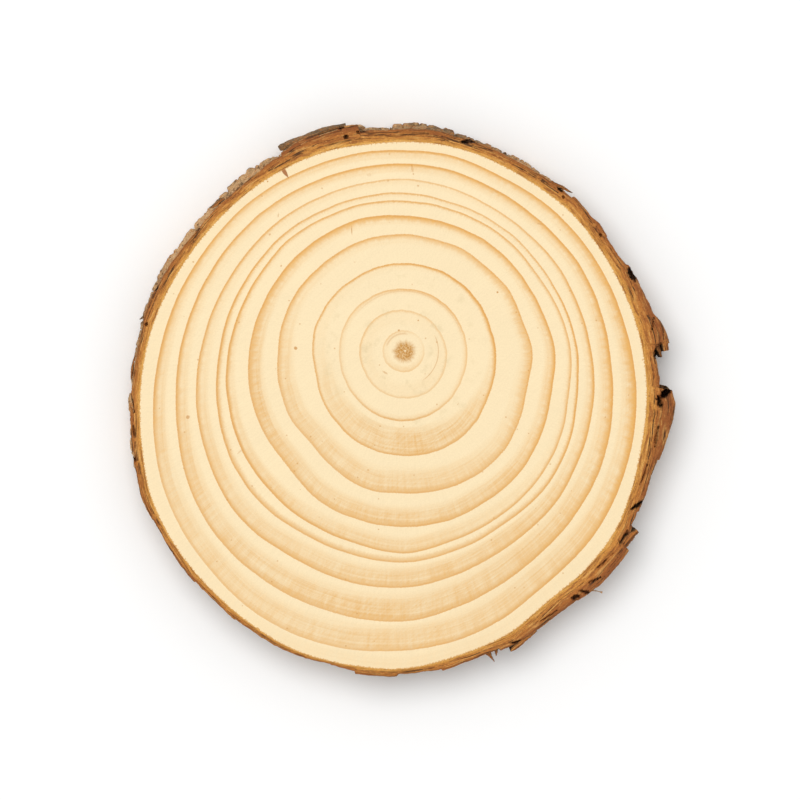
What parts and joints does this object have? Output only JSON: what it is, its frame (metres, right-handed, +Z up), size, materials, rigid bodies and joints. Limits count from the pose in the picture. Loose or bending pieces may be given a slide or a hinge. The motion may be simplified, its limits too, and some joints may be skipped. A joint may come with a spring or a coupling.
{
  "type": "wood slice",
  "caption": "Flat round cross-cut slice of a pine trunk with off-centre growth rings and its rough bark left on around the edge.",
  "frame": {"origin": "on the lower sawn face, at the middle of the slice's box seen from above", "axes": "+Z up through the thickness, square to both sawn faces; +X to the right and +Y away from a viewer who looks down with the narrow rings at the far side"},
  "size_m": [0.1144, 0.1154, 0.01],
  "materials": {
    "wood": "sawn and sanded pine end grain, matt, with darker growth rings",
    "bark": "raw pine bark, cinnamon brown where cut and weathered grey-green outside"
  },
  "bodies": {
    "root": {"wood_slice": "wood"}
  },
  "joints": []
}
